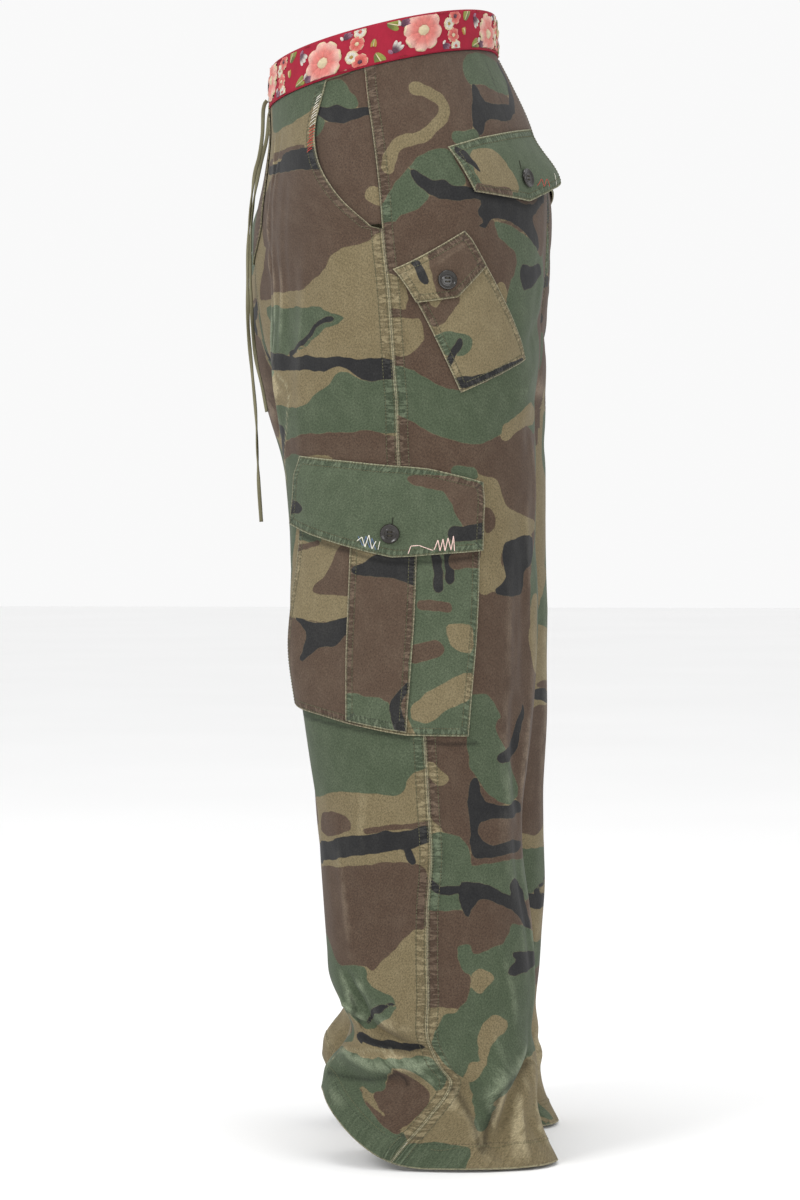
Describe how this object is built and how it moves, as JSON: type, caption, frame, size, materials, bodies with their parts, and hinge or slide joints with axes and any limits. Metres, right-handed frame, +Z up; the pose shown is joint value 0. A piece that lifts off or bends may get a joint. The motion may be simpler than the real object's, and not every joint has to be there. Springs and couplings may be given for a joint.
{
  "type": "cargo pants",
  "caption": "Wide-leg cotton cargo trousers in a woodland print, standing hollow as worn, with a red embroidered waistband, flapped pleated thigh pockets and a drawstring.",
  "frame": {"origin": "middle of the waist at half the waistband's height, where the wearer's waist holds the garment", "axes": "+Z up along the body, -Y towards the front, +X towards the wearer's left"},
  "size_m": [0.4341, 0.3268, 1.1361],
  "materials": {
    "cloth": "faded woodland print on cotton twill, paler along every stitched edge",
    "facing": "woodland print on cotton twill",
    "band": "red cotton covered with satin-stitch flowers and leaves",
    "button": "dark brown moulded urea with a dull gloss",
    "tape": "flat olive cotton tape"
  },
  "bodies": {
    "root": {"front_left": "cloth", "front_right": "cloth", "back_left": "cloth", "back_right": "cloth", "fly": "cloth", "back_flap_left": "cloth", "back_flap_right": "cloth", "hip_pocket": "cloth", "hip_pocket_flap": "cloth", "cargo_pocket_left": "cloth", "cargo_pocket_right": "cloth", "cargo_pleat_left": "cloth", "cargo_pleat_right": "cloth", "cargo_flap_left": "cloth", "cargo_flap_right": "cloth", "pocket_facing_left": "facing", "pocket_facing_right": "facing", "waistband": "band", "back_button_left": "button", "back_button_right": "button", "cargo_button_left": "button", "cargo_button_right": "button", "hip_button": "button", "waist_button": "button", "eyelet_left": "tape", "eyelet_right": "tape", "drawcord_left": "tape", "drawcord_right": "tape"}
  },
  "joints": []
}
